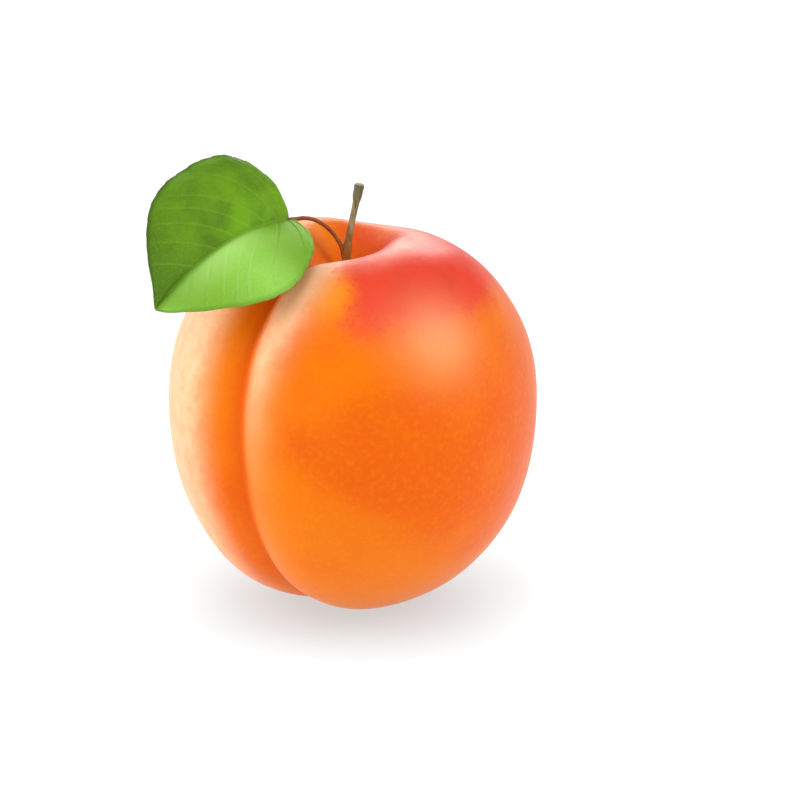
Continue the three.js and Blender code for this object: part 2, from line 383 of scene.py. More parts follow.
globe = bmesh.new()
bmesh.ops.create_uvsphere(globe, u_segments=FRUIT_MERIDIANS, v_segments=FRUIT_RINGS, radius=1.0)
unit = np.array([vertex.co[:] for vertex in globe.verts])
even_polar = np.arccos(np.clip(unit[:, 2], -1, 1))
polar = even_polar - RING_CROWDING * np.sin(2 * even_polar) / 2
around = np.arctan2(unit[:, 0], -unit[:, 1])
turn = around - GROOVE_CROWDING * np.sin(around) + SUTURE_TURN

way = np.stack([np.sin(polar) * np.sin(turn), -np.sin(polar) * np.cos(turn), np.cos(polar)], axis=1)
plain = body_radius(way)
from_stem = plain * np.sin(polar)
down = polar / math.pi
sink = suture_sink(from_stem, turn, down)
crown = np.where(way[:, 2] > 0, cavity_depth(from_stem, turn) - shoulder_rise(from_stem, turn), 0.0)
uneven = np.array([noise.noise(Vector(w) * (FRUIT_WIDTH / 2 / UNEVEN_SIZE)) for w in way])
skin = way * (plain - sink + UNEVENNESS * uneven)[:, None]
skin[:, 2] = np.maximum(skin[:, 2] + CENTRE_Z - crown, 0.0)
for vertex, place in zip(globe.verts, skin * MM):
    vertex.co = place

fruit = keep_piece("ripe_fruit", globe, "fruit")
print("fruit height in mm:", round(skin[:, 2].max(), 1), "faces:", len(fruit.data.polygons))

# %% [markdown]
# ## Where the skin colours
# The side that faced the sun blushes red, most of all on the shoulder, and the colour creeps into
# the cavity. The shaded cheek is paler, partly in its own tone and partly as painted sheen. The lip
# of the crease carries a painted highlight, the rim of the cavity a rosy painted highlight, the
# shoulder a peach painted gleam, and the golden spot in front is partly a painted gleam. Each of
# these is a field, a number at each vertex that says how strongly its colour shows.
# The fields are worked out from the same angles as the shape, so that they follow the crease
# exactly. Places are in degrees: a turn goes from the front towards the right, and a polar angle
# goes down from the stem. A pair says where a change starts and where it ends.

# %% Helpers for places on the skin
turn_degrees = np.degrees(turn) % 360
signed_turn = (turn_degrees + 180) % 360 - 180
polar_degrees = np.degrees(polar)
crease, offset, front = crease_profile(from_stem, turn)


def falls(value, start, end):
    return 1 - smoothstep(value, start, end)


def between(pair, amount):
    return pair[0] + (pair[1] - pair[0]) * amount


def spot(turn, polar, spread):
    """1 at a place on the skin, falling to 0 over a spread in degrees."""
    sideways = (turn_degrees - turn) * np.sin(np.radians(polar_degrees))
    return bell(np.hypot(sideways, polar_degrees - polar), spread)


print("deepest crease field:", round(float(crease.max()), 2))

# %% Blush field
BLUSH_STARTS = (20, 46)
BLUSH_ENDS = (150, 205)
BLUSH_SINKS = (42, 66)
BLUSH_RISES_BY = 4
BLUSH_RISES_OVER = (75, 115)
RED_WALL = {"turn": 204, "polar": 16, "spread": 10}
RED_WALL_SHOWS = 0.5
GOLDEN_GLEAM_SPOT = {"turn": 28, "polar": 41, "spread": 7}
GOLDEN_WALL = {"turn": 262, "polar": 18, "spread": 9}
GOLDEN_CLEARS_BLUSH = 0.8

# The golden spot on the front shoulder is partly a golden tone and partly a painted gleam.
golden_tone_and_gleam = np.maximum(spot(**GOLDEN_GLEAM_SPOT), spot(**GOLDEN_WALL))
lowered = polar_degrees + BLUSH_RISES_BY * smoothstep(turn_degrees, *BLUSH_RISES_OVER)
blush = smoothstep(turn_degrees, *BLUSH_STARTS) * falls(turn_degrees, *BLUSH_ENDS)
blush = blush * falls(lowered, *BLUSH_SINKS) * (1 - GOLDEN_CLEARS_BLUSH * golden_tone_and_gleam)
blush = np.maximum(blush, RED_WALL_SHOWS * spot(**RED_WALL))
print("blushed share:", round(float((blush > 0.5).mean()), 2))

# %% Painted rosy highlight on the rim of the cavity
RIM_STARTS = (4, 26)
RIM_ENDS = (115, 235)
RIM_GOES_RIGHT = (45, 90)
RIM_POLARS = (27.5, 20.5)
RIM_SHOWS = (0.3, 0.56)
RIM_SPREAD = 4.6

to_right = smoothstep(turn_degrees, *RIM_GOES_RIGHT)
# A painted highlight: a pale rosy band round the rim of the cavity, stronger on the right.
painted_rim_highlight = bell(polar_degrees - between(RIM_POLARS, to_right), RIM_SPREAD)
painted_rim_highlight = painted_rim_highlight * between(RIM_SHOWS, to_right)
painted_rim_highlight = painted_rim_highlight * smoothstep(turn_degrees, *RIM_STARTS) * falls(turn_degrees, *RIM_ENDS)
print("strongest rim:", round(float(painted_rim_highlight.max()), 2))

# %% Pale cheek with painted sheen, and painted highlight on the lip of the crease
CHEEK_STARTS_BEHIND = (-165, -75)
CHEEK_ENDS_IN_FRONT = (-22, -7)
CHEEK_STARTS_ABOVE = (16, 50)
CHEEK_ENDS_BELOW = (120, 165)
LIP_GOES_DOWN = (45, 75)
LIP_OFFSETS = (4.7, 3.4)
LIP_HIGHLIGHT_STRENGTH = (1.5, 0.64)
LIP_SPREAD = 2.7
LIP_ENDS = (60, 112)

# The cheek is paler partly in its own tone and partly as painted sheen; the lip band is a painted
# highlight.
cheek_tone_and_sheen = smoothstep(signed_turn, *CHEEK_STARTS_BEHIND) * falls(signed_turn, *CHEEK_ENDS_IN_FRONT)
cheek_tone_and_sheen = cheek_tone_and_sheen * smoothstep(polar_degrees, *CHEEK_STARTS_ABOVE)
cheek_tone_and_sheen = cheek_tone_and_sheen * falls(polar_degrees, *CHEEK_ENDS_BELOW)
lower = smoothstep(polar_degrees, *LIP_GOES_DOWN)
painted_lip_highlight = bell(offset - between(LIP_OFFSETS, lower), LIP_SPREAD) * falls(polar_degrees, *LIP_ENDS)
painted_lip_highlight = painted_lip_highlight * (turn > SUTURE_TURN) * (turn < math.pi / 2)
pale_and_painted_light = np.maximum(cheek_tone_and_sheen, between(LIP_HIGHLIGHT_STRENGTH, lower) * painted_lip_highlight)
print("pale share:", round(float((pale_and_painted_light > 0.5).mean()), 2))

# %% Keep the skin's fields
# The crease field paints shade: the skin turns a deeper orange down the groove.
CREASE_DEEPENS = 6.0
ELSEWHERE = 99.0
# A painted gleam: a pale peach spot on the right shoulder.
PAINTED_GLEAM_SPOT = {"turn": 68, "polar": 56, "spread": 13}
SKIN_FIELDS = {
    "blush": blush,
    "golden_tone_and_gleam": golden_tone_and_gleam,
    "painted_gleam": spot(**PAINTED_GLEAM_SPOT),
    "painted_rim_highlight": painted_rim_highlight,
    "pale_and_painted_light": pale_and_painted_light,
    "crease": crease ** 2 * front * np.clip(from_stem / CREASE_DEEPENS, 0, 1),
    "from_stem": np.where(way[:, 2] > 0, from_stem, ELSEWHERE),
    "from_tip": np.where(way[:, 2] < 0, from_stem, ELSEWHERE),
}
for name, values in SKIN_FIELDS.items():
    keep_field(fruit, name, values)
print("skin fields:", list(SKIN_FIELDS))

# %% [markdown]
# ## Skin finish
# Ripe apricot skin is orange, mottled and flecked, with a dull gleam under a fine down. The colours
# are laid over one another as a painter would: the ground first, then the golden spots (partly a
# painted gleam), the pale parts (partly painted sheen and a painted highlight), the painted shade of
# the crease, the blush with its patchy edge, a painted gleam, the rosy painted highlight on the rim
# and last the small marks. Light that enters the flesh warms the shades, so the shader lets a little
# through.

# %% Skin colours
DEEP_ORANGE = paint(237, 97, 0)
WARM_ORANGE = paint(245, 121, 0)
GOLD = paint(253, 158, 16)
# Painted light and shade: a pale peach, partly the cheek's tone and partly painted sheen and
# highlight,
PEACH_TONE_AND_SHEEN = paint(252, 186, 140)
# a peach for a painted gleam, a rose for a painted rim highlight, a deeper orange for painted crease
# shade.
GLEAM_PEACH = paint(253, 176, 128)
RIM_HIGHLIGHT_ROSE = paint(254, 198, 176)
CREASE_SHADE_ORANGE = paint(230, 98, 8)
BLUSH_RED = paint(236, 60, 46)
BLUSH_DEEP = paint(212, 38, 34)
STEM_BROWN = paint(132, 78, 28)
SKIN_SHADER = {
    "Subsurface Weight": 0.2,
    "Subsurface Radius": (1.0, 0.45, 0.15),
    "Subsurface Scale": 1.5 * MM,
    "IOR": 1.36,
    "Specular IOR Level": 0.44,
    "Specular Tint": (1.0, 0.70, 0.32, 1.0),
    "Sheen Weight": 0.06,
    "Sheen Roughness": 0.3,
    "Sheen Tint": paint(255, 222, 190),
}
skin_finish = Finish("apricot_skin")
print("skin shader:", list(SKIN_SHADER))

# %% Ground colour
FLECKS_SHOW = 0.16
GOLDEN_SHOWS = 0.6
CREASE_SHADE_SHOWS = 0.8

broad = skin_finish.ramp(skin_finish.clouds(per_metre=55), 0.35, 0.65)
ground = skin_finish.blend(broad, DEEP_ORANGE, WARM_ORANGE)
flecks = skin_finish.ramp(skin_finish.clouds(per_metre=1500, detail=3.0, rough=0.6), 0.45, 0.72)
ground = skin_finish.blend(skin_finish.times(flecks, FLECKS_SHOW), ground, GOLD)
# Partly a painted gleam: the golden spots turn the ground gold.
golden_gleam_amount = skin_finish.times(skin_finish.attribute("golden_tone_and_gleam"), GOLDEN_SHOWS)
ground = skin_finish.blend(golden_gleam_amount, ground, GOLD)
mottle = skin_finish.clouds(per_metre=480, detail=5.0, rough=0.66)
mottle = skin_finish.ramp(mottle, 0.32, 0.66, start=0.65, end=0.97)
# Pale peach: partly the cheek's own tone, partly painted sheen and a painted highlight on the crease's
# lip.
pale_and_light_amount = skin_finish.times(skin_finish.attribute("pale_and_painted_light"), mottle)
ground = skin_finish.blend(pale_and_light_amount, ground, PEACH_TONE_AND_SHEEN)
# Painted shade: a deeper orange down the crease.
crease_shade_amount = skin_finish.times(skin_finish.attribute("crease"), CREASE_SHADE_SHOWS)
ground = skin_finish.blend(crease_shade_amount, ground, CREASE_SHADE_ORANGE)
print("nodes after the ground colour:", len(skin_finish.tree.nodes))

# %% Blush and painted gleam
EDGE_PATCHINESS = 0.7
DEEP_PATCHES_SHOW = 0.5
BLUSH_SHOWS = 0.94
GLEAM_SHOWS = 0.56

patches = skin_finish.clouds(per_metre=230, detail=4.0, rough=0.62)
patchy_edge = skin_finish.times(skin_finish.maths("SUBTRACT", patches, 0.5), EDGE_PATCHINESS)
freckles = skin_finish.ramp(skin_finish.cells(per_metre=1150), 0.12, 0.42, start=0.16, end=0.0)
blush_edge = skin_finish.maths("ADD", skin_finish.attribute("blush"), patchy_edge)
blush_edge = skin_finish.maths("ADD", blush_edge, freckles)
blush_amount = skin_finish.ramp(blush_edge, 0.12, 0.95)
deep_patches = skin_finish.ramp(skin_finish.clouds(per_metre=140, detail=3.0), 0.5, 0.8)
red = skin_finish.blend(skin_finish.times(deep_patches, DEEP_PATCHES_SHOW), BLUSH_RED, BLUSH_DEEP)
coloured = skin_finish.blend(skin_finish.times(blush_amount, BLUSH_SHOWS), ground, red)
# Painted gleam: a pale peach spot on the shoulder.
painted_gleam_amount = skin_finish.times(skin_finish.attribute("painted_gleam"), GLEAM_SHOWS)
coloured = skin_finish.blend(painted_gleam_amount, coloured, GLEAM_PEACH)
# Painted highlight: the rim of the cavity turns pale rose.
rim_highlight_amount = skin_finish.times(skin_finish.attribute("painted_rim_highlight"), mottle)
coloured = skin_finish.blend(rim_highlight_amount, coloured, RIM_HIGHLIGHT_ROSE)
print("nodes after the blush:", len(skin_finish.tree.nodes))

# %% Stem ring, pores and down
PORES_SHOW = 0.22
DOWN_HEIGHT = 0.03 * MM
DIMPLE_HEIGHT = 0.1 * MM

stem_ring = skin_finish.ramp(skin_finish.attribute("from_stem"), 0.8, 2.0, start=1.0, end=0.0)
coloured = skin_finish.blend(stem_ring, coloured, STEM_BROWN)
tip_scar = skin_finish.ramp(skin_finish.attribute("from_tip"), 0.5, 1.3, start=0.8, end=0.0)
coloured = skin_finish.blend(tip_scar, coloured, STEM_BROWN)
pore_dots = skin_finish.ramp(skin_finish.cells(per_metre=1000), 0.04, 0.14, start=1.0, end=0.0)
coloured = skin_finish.blend(skin_finish.times(pore_dots, PORES_SHOW), coloured, GOLD)
fine_down = skin_finish.clouds(per_metre=2600, rough=0.6)
dimples = skin_finish.clouds(per_metre=420, detail=3.0)
relief = skin_finish.bump(dimples, DIMPLE_HEIGHT, over=skin_finish.bump(fine_down, DOWN_HEIGHT))
skin_finish.set(Base_Color=coloured, Roughness=0.4, Normal=relief)
for socket, value in SKIN_SHADER.items():
    skin_finish.shader.inputs[socket].default_value = value
fruit.data.materials.append(skin_finish.material)
print("skin nodes:", len(skin_finish.tree.nodes))

# %% [markdown]
# ## Leaf blade
# The blade is a thin sheet folded upwards along its midrib. It is worked out flat first, as rows
# that sweep from the midrib to the toothed margin the way the side veins run, then laid along the
# midrib's curve. Two fine grids make its faces, so that the veins can be sunk on top and stand
# proud underneath, and a bridge closes the margin between them.

# %% Leaf dimensions, in millimetres
MIDRIB = np.array([
    (-5.6, -6.06, 53.07),
    (-5.6, -12.6, 54.15),
    (-11.1, -16.15, 50.95),
    (-9.45, -28.2, 45.4),
])
BLADE_THICKNESS = 0.32
BLADE_ROLL = math.radians(-36.7)
BLADE_FOLD = math.radians(31.7)
OUTER_HALF = {"side": -1, "width": 12.45, "widest": 0.93, "fullness": 1.25, "lobe": 0.93,
              "point": 0.3, "curl": -0.077, "curl_trend": 0.0, "vein_shift": 0.0, "vein_lean": 0.84}
INNER_HALF = {"side": 1, "width": 13.55, "widest": 1.13, "fullness": 1.1, "lobe": 0.2,
              "point": 0.0, "curl": -0.026, "curl_trend": 0.023, "vein_shift": 0.55, "vein_lean": 1.12}
LOBE_REACH = 1.6
LOBE_SHARPNESS = 1.5
FOOT_WIDTH = 0.35
TIP_WIDTH = 0.1
VEIN_SWEEP = 1.6
TEETH = 22
TOOTH_DEPTH = 0.32
TOOTH_LEAN = 0.8
TOOTH_NOTCH = 0.82
TEETH_APPEAR = 6
FLATTEST_CURL = 1e-4
FOLD_ROUNDING = 0.5
ROWS_PER_TOOTH = 12
HALF_COLUMNS = 60
COLUMN_CROWDING = 1.25
print("blade", OUTER_HALF["width"] + INNER_HALF["width"], "mm wide when flat, teeth:", TEETH)

# %% Leaf formula


def midrib_point(along):
    t = np.clip(along, 0, 1)[:, None]
    weights = [(1 - t) ** 3, 3 * (1 - t) ** 2 * t, 3 * (1 - t) * t ** 2, t ** 3]
    return sum(w * p for w, p in zip(weights, MIDRIB))


def unit_rows(vectors):
    return vectors / np.linalg.norm(vectors, axis=1)[:, None]


def midrib_tangent(along):
    t = np.clip(along, 0, 1)[:, None]
    steps = np.diff(MIDRIB, axis=0)
    return unit_rows((1 - t) ** 2 * steps[0] + 2 * (1 - t) * t * steps[1] + t ** 2 * steps[2])


MIDRIB_STATIONS = 200
stations = midrib_point(np.linspace(0, 1, MIDRIB_STATIONS))
MIDRIB_LENGTH = float(np.linalg.norm(np.diff(stations, axis=0), axis=1).sum())


def tooth(along):
    """Rounded saw teeth that lean towards the tip, fading at the foot and the tip."""
    phase = (along * TEETH) % 1.0
    saw = phase ** TOOTH_LEAN * (1 - smoothstep(phase, TOOTH_NOTCH, 1.0))
    return TOOTH_DEPTH * saw * np.minimum(1, TEETH_APPEAR * along) * (1 - along)


def flat_blade(half, along, out):
    """Where a point lies on the flat blade: along the midrib, and out from it in mm."""
    rounded = (1 - np.cos(math.pi * along)) / 2
    pointed = 1 - np.cos(math.pi * along / 2)
    edge_along = rounded + (pointed - rounded) * half["point"]
    lobe = half["lobe"] * np.sin(math.pi * np.minimum(1, LOBE_REACH * along)) ** LOBE_SHARPNESS
    swell = np.sin(math.pi * np.minimum(1, along ** half["widest"]))
    edge_out = half["width"] * np.maximum(swell, 0) ** half["fullness"]
    rim = edge_out + FOOT_WIDTH + (TIP_WIDTH - FOOT_WIDTH) * along + tooth(along)
    edge = edge_along - (lobe / MIDRIB_LENGTH) * (1 - along)
    inner = along ** VEIN_SWEEP
    return inner + (edge - inner) * out, rim * out


def blade_axes(along):
    tangent = midrib_tangent(along)
    level = unit_rows(np.cross([0, 0, 1], tangent))
    upright = np.cross(tangent, level)
    sideways = level * math.cos(BLADE_ROLL) + upright * math.sin(BLADE_ROLL)
    up = upright * math.cos(BLADE_ROLL) - level * math.sin(BLADE_ROLL)
    return sideways, up


def fold_blade(half, place, reach, lift):
    """Lays flat blade points along the midrib, folded and curled, raised by lift."""
    sideways, up = blade_axes(place)
    bend = half["curl"] + half["curl_trend"] * (2 * place - 1)
    bend = np.where(np.abs(bend) < FLATTEST_CURL, FLATTEST_CURL, bend)
    slope = BLADE_FOLD + bend * reach
    behind = np.minimum(place, 0) * MIDRIB_LENGTH
    points = midrib_point(place) + midrib_tangent(np.zeros(1)) * behind[:, None]
    outwards = half["side"] * (np.sin(slope) - math.sin(BLADE_FOLD)) / bend
    upwards = (math.cos(BLADE_FOLD) - np.cos(slope)) / bend
    points = points + sideways * outwards[:, None] + up * upwards[:, None]
    tilt = slope * smoothstep(reach, 0.0, FOLD_ROUNDING)
    points = points - sideways * (half["side"] * np.sin(tilt) * lift)[:, None]
    return points + up * (np.cos(tilt) * lift)[:, None]


print("midrib length in mm:", round(MIDRIB_LENGTH, 1))

# %% Veins
MIDRIB_WIDTH = 0.42
MIDRIB_TAPER = 0.6
SIDE_VEINS = (-0.05, 0.025, 0.11, 0.21, 0.325, 0.45, 0.59, 0.74)
VEIN_WIDTH = 0.19
VEIN_TAPER = 0.55
VEIN_BOW = 0.018
LEAN_REACHED = 0.26
LOOP_LEAVES = 0.60
LOOP_BEND = 0.16
LOOP_SHOW = 0.6
LOOP_WIDTH = 0.8
VEINS_START = (0.0, 0.04)
VEINS_END = (0.90, 0.98)


def vein_field(half, place, reach, out):
    """The midrib and the side veins, each 1 on its line and 0 between."""
    middle = bell(reach, MIDRIB_WIDTH * (1 - MIDRIB_TAPER * np.clip(place / MIDRIB_LENGTH, 0, 1)))
    width = VEIN_WIDTH * (1 - VEIN_TAPER * out)
    past = np.maximum(out - LOOP_LEAVES, 0) * half["width"]
    side = np.zeros_like(place)
    for start in SIDE_VEINS:
        lean = half["vein_lean"] * min(1.0, (start - SIDE_VEINS[0]) / LEAN_REACHED)
        path = max(start, 0) * MIDRIB_LENGTH + half["vein_shift"] + (lean + VEIN_BOW * reach) * reach
        steepness = np.hypot(1, lean + 2 * VEIN_BOW * reach)
        side = np.maximum(side, bell((place - path) / steepness, width))
        loop = path + LOOP_BEND * past ** 2
        looped = bell((place - loop) / steepness, LOOP_WIDTH * width) * (past > 0)
        side = np.maximum(side, LOOP_SHOW * looped)
    return middle, side * smoothstep(out, *VEINS_START) * falls(out, *VEINS_END)


print("side veins on each half:", len(SIDE_VEINS))

# %% Leaf relief, in millimetres
TOP, UNDER = 1, -1
MIDRIB_SUNK = 0.12
MIDRIB_PROUD = 0.30
SIDE_VEIN_SUNK = 0.05
SIDE_VEIN_PROUD = 0.09
QUILTING = 0.10
QUILTING_STARTS = (0.05, 0.3)
QUILTING_ENDS = (0.85, 1.0)
MARGIN_STARTS = (0.93, 1.0)
WAVES = ({"height": 0.10, "pace": 23, "shift": 1, "power": 2},
         {"height": 0.06, "pace": 57, "shift": 0, "power": 3})


def vein_relief(middle, side, along, face):
    """How far the veins sink below the top face, or stand proud of the underside."""
    if face == TOP:
        return -(SIDE_VEIN_SUNK * side + MIDRIB_SUNK * middle)
    return -(SIDE_VEIN_PROUD * side + MIDRIB_PROUD * middle * (1 - along))


def blade_points(unit, face):
    """Points and colour fields of one face of the blade, from a grid that spans -1 to 1."""
    across, along = unit[:, 0], (unit[:, 1] + 1) / 2
    out = np.abs(across) ** COLUMN_CROWDING
    points = np.zeros((len(unit), 3))
    fields = {name: np.zeros(len(unit)) for name in ("vein", "rim", "along_blade", "out_blade")}
    for half, chosen in ((OUTER_HALF, across < 0), (INNER_HALF, across >= 0)):
        s, o = along[chosen], out[chosen]
        place, reach = flat_blade(half, s, o)
        middle, side = vein_field(half, place * MIDRIB_LENGTH, reach, o)
        lift = face * BLADE_THICKNESS / 2 + vein_relief(middle, side, s, face)
        for wave in WAVES:
            phase = s * wave["pace"] + half["side"] * wave["shift"]
            lift = lift + wave["height"] * np.sin(phase) * o ** wave["power"]
        puff = smoothstep(o, *QUILTING_STARTS) * falls(o, *QUILTING_ENDS)
        lift = lift + QUILTING * (1 - side) * puff
        points[chosen] = fold_blade(half, place, reach, lift)
        fields["vein"][chosen] = np.maximum(middle, side)
        fields["rim"][chosen] = smoothstep(o, *MARGIN_STARTS)
        fields["along_blade"][chosen] = place * MIDRIB_LENGTH
        fields["out_blade"][chosen] = half["side"] * reach
    return points, fields


print("midrib stands proud by", MIDRIB_PROUD, "mm underneath")

# %% Leaf mesh
blade_shape = bmesh.new()
face_fields = []
for face in (TOP, UNDER):
    known = set(blade_shape.verts)
    rows, columns = TEETH * ROWS_PER_TOOTH, 2 * HALF_COLUMNS
    bmesh.ops.create_grid(blade_shape, x_segments=columns, y_segments=rows, size=1)
    fresh = [vertex for vertex in blade_shape.verts if vertex not in known]
    points, fields = blade_points(np.array([vertex.co[:] for vertex in fresh]), face)
    for vertex, point in zip(fresh, points * MM):
        vertex.co = point
    face_fields.append(fields)
    if face == UNDER:
        sheet = {f for vertex in fresh for f in vertex.link_faces}
        bmesh.ops.reverse_faces(blade_shape, faces=list(sheet))
        for f in sheet:
            f.material_index = 1
margin = [edge for edge in blade_shape.edges if edge.is_boundary]
bmesh.ops.bridge_loops(blade_shape, edges=margin)

blade = keep_piece("blade", blade_shape, "leaf_blade")
for name in face_fields[0]:
    keep_field(blade, name, np.concatenate([fields[name] for fields in face_fields]))
print("blade faces:", len(blade.data.polygons))

# %% [markdown]
# ## Leaf finishes
# The leaf shows its upper face, with painted shade darkening the outer half and painted light on the
# inner half, which glows in paint as if light came through it, with pale veins and a net of finer
# ones between them. Its underside is duller and greyer. Both are drawn on the flat blade, in
# millimetres along the midrib and out from it, so that the net follows the veins.

# %% Leaf finishes
LEAF_DARK_AND_SHADE = paint(76, 118, 6)
LEAF_FRESH = paint(118, 174, 12)
LEAF_PAINTED_LIT = paint(120, 178, 22)
LEAF_PAINTED_GLOW_PALE = paint(156, 220, 90)
LEAF_PAINTED_GLOW = paint(206, 252, 146)
LEAF_VEIN = paint(140, 178, 62)
LEAF_RIM = paint(60, 84, 22)
LEAF_UNDER = paint(130, 166, 76)
LEAF_UNDER_VEIN = paint(176, 198, 124)
LEAF_SHADER = {
    "Subsurface Weight": 0.3,
    "Subsurface Radius": (0.5, 1.0, 0.2),
    "Subsurface Scale": 0.5 * MM,
    "Specular IOR Level": 0.3,
    "Specular Tint": (0.9, 1.0, 0.55, 1.0),
}
BLOTCHES_PER_MM = 0.16
TIP_DARKENS = 0.45
PAINTED_GLOW_FADES = 0.55
WANDER_PER_MM = 0.9
NET_PER_MM = 0.95
NET_SHOWS = 0.34
NET_DEPTH = 0.05 * MM
FINE_NET_PER_MM = 2.9
FINE_NET_SHOWS = 0.16
PORE_DEPTH = 0.02 * MM
GRAIN_PER_MM = 4.0
GRAIN_SHOWS = 0.12


def leaf_finish(name, dark_green_and_shade, fresh, painted_lit_green, pale_and_painted_light, vein_colour, roughness, vein_show):
    """One face of the blade: blotched green, painted shade on the outer half, painted light and glow
    on the inner half, pale veins and a fine net between them.
    """
    finish = Finish(name)
    along = finish.attribute("along_blade")
    out = finish.attribute("out_blade")
    flat = finish.add("ShaderNodeCombineXYZ", {"X": along, "Y": out}).outputs[0]

    blotches = finish.clouds(BLOTCHES_PER_MM, detail=3.0, rough=0.55, where=flat)
    colour = finish.blend(finish.ramp(blotches, 0.3, 0.7), dark_green_and_shade, fresh)
    to_tip = finish.ramp(along, TIP_DARKENS * MIDRIB_LENGTH, MIDRIB_LENGTH)
    colour = finish.blend(to_tip, colour, dark_green_and_shade)
    # Painted light: the inner half is brighter, as if lit from above.
    painted_light_inner = finish.ramp(out, -0.4, 1.6, start=0.0, end=0.75)
    colour = finish.blend(painted_light_inner, colour, painted_lit_green)
    # Painted glow: the inner half turns pale as if light came through it, fading towards the tip.
    past_foot = finish.ramp(along, 4.0, 14.0)
    before_tip = finish.ramp(along, PAINTED_GLOW_FADES * MIDRIB_LENGTH, MIDRIB_LENGTH, start=1.0, end=0.2)
    painted_glow = finish.times(painted_light_inner, finish.times(past_foot, before_tip))
    colour = finish.blend(painted_glow, colour, pale_and_painted_light)
    # Painted glow: palest near the fold.
    near_fold = finish.ramp(out, 0.6, 7.0, start=0.8, end=0.0)
    colour = finish.blend(finish.times(near_fold, painted_glow), colour, LEAF_PAINTED_GLOW)
    # Painted shade: the outer half is darker.
    painted_shade_outer = finish.ramp(out, -9.0, -0.5, start=0.4, end=0.2)
    outer_only = finish.ramp(out, -0.5, 0.3, start=1.0, end=0.0)
    colour = finish.blend(finish.times(painted_shade_outer, outer_only), colour, dark_green_and_shade)

    wander = finish.add("ShaderNodeTexNoise", {"Vector": flat, "Scale": WANDER_PER_MM}).outputs[1]
    bent = finish.add("ShaderNodeVectorMath", {0: wander, 1: flat}, operation="ADD").outputs[0]
    net = finish.cells(NET_PER_MM, "DISTANCE_TO_EDGE", bent)
    net = finish.times(finish.ramp(net, 0.0, 0.09, start=1.0, end=0.0), NET_SHOWS)
    fine_net = finish.cells(FINE_NET_PER_MM, "DISTANCE_TO_EDGE", bent)
    fine_net = finish.times(finish.ramp(fine_net, 0.0, 0.12, start=1.0, end=0.0), FINE_NET_SHOWS)
    threads = finish.maths("MAXIMUM", net, fine_net)
    veins = finish.maths("MAXIMUM", finish.attribute("vein"), threads)
    shown = finish.ramp(out, -0.8, 0.8, start=0.7 * vein_show, end=vein_show)
    grain = finish.clouds(GRAIN_PER_MM, detail=3.0, rough=0.6, where=flat)
    grain = finish.ramp(grain, 0.3, 0.7, start=-GRAIN_SHOWS, end=GRAIN_SHOWS)
    veins = finish.maths("ADD", finish.times(veins, shown), grain)
    # The veins take the painted glow too.
    vein_tone = finish.blend(painted_glow, vein_colour, LEAF_PAINTED_GLOW)
    colour = finish.blend(veins, colour, vein_tone)
    rim_shown = finish.ramp(out, -2.0, 2.0, start=0.85, end=0.3)
    colour = finish.blend(finish.times(finish.attribute("rim"), rim_shown), colour, LEAF_RIM)

    net_relief = finish.bump(finish.maths("SUBTRACT", 1.0, threads), NET_DEPTH)
    relief = finish.bump(finish.clouds(per_metre=5000), PORE_DEPTH, over=net_relief)
    finish.set(Base_Color=colour, Roughness=roughness, Normal=relief)
    for socket, value in LEAF_SHADER.items():
        finish.shader.inputs[socket].default_value = value
    return finish.material


top_greens = (LEAF_DARK_AND_SHADE, LEAF_FRESH, LEAF_PAINTED_LIT, LEAF_PAINTED_GLOW_PALE, LEAF_VEIN)
under_greens = (LEAF_UNDER, LEAF_UNDER, LEAF_UNDER, LEAF_UNDER, LEAF_UNDER_VEIN)
blade.data.materials.append(leaf_finish("leaf_top", *top_greens, roughness=0.55, vein_show=0.6))
blade.data.materials.append(leaf_finish("leaf_under", *under_greens, roughness=0.6, vein_show=0.8))
print("leaf finishes:", [material.name for material in blade.data.materials])

# %% [markdown]
# ## Stems
# A twig and a leaf stalk are both round stems whose thickness changes along a bent route. A plain
# cylinder cut into many rings is bent onto the route, with its radius given by a short function.

# %% Stem builder
STEP_ALONG = 0.01
NEVER_ALONG_A_STEM = (0.6, -0.8, 0.1)


def curve_point(points, t):
    """A smooth curve through or near a few points, at places from 0 to 1."""
    spans = len(points) - 1
    padded = np.vstack([2 * points[0] - points[1], points, 2 * points[-1] - points[-2]])
    k = np.minimum((t * spans).astype(int), spans - 1)
    u = (t * spans - k)[:, None]
    a, b, c, d = padded[k], padded[k + 1], padded[k + 2], padded[k + 3]
    square = (2 * a - 5 * b + 4 * c - d) * u ** 2
    cube = (3 * b - a - 3 * c + d) * u ** 3
    return 0.5 * (2 * b + (c - a) * u + square + cube)


def bend_stem(route, radius_at, sides, rings):
    """A round stem along a route. radius_at takes places from 0 to 1 and angles."""
    stem = bmesh.new()
    bmesh.ops.create_cone(stem, cap_ends=True, segments=sides, radius1=1, radius2=1, depth=1)
    uprights = [edge for edge in stem.edges if edge.verts[0].co.z != edge.verts[1].co.z]
    bmesh.ops.subdivide_edges(stem, edges=uprights, cuts=rings - 1)
    plain = np.array([vertex.co[:] for vertex in stem.verts])
    t = plain[:, 2] + 0.5
    angle = np.arctan2(plain[:, 1], plain[:, 0])
    before = curve_point(route, np.maximum(t - STEP_ALONG, 0))
    ahead = unit_rows(curve_point(route, np.minimum(t + STEP_ALONG, 1)) - before)
    side = unit_rows(np.cross(ahead, NEVER_ALONG_A_STEM))
    other = np.cross(ahead, side)
    radius = radius_at(t, angle)[:, None]
    outward = side * np.cos(angle)[:, None] + other * np.sin(angle)[:, None]
    points = curve_point(route, t) + outward * radius
    for vertex, point in zip(stem.verts, points * MM):
        vertex.co = point
    bmesh.ops.recalc_face_normals(stem, faces=stem.faces)
    return stem, t, angle


print("stem builder ready")

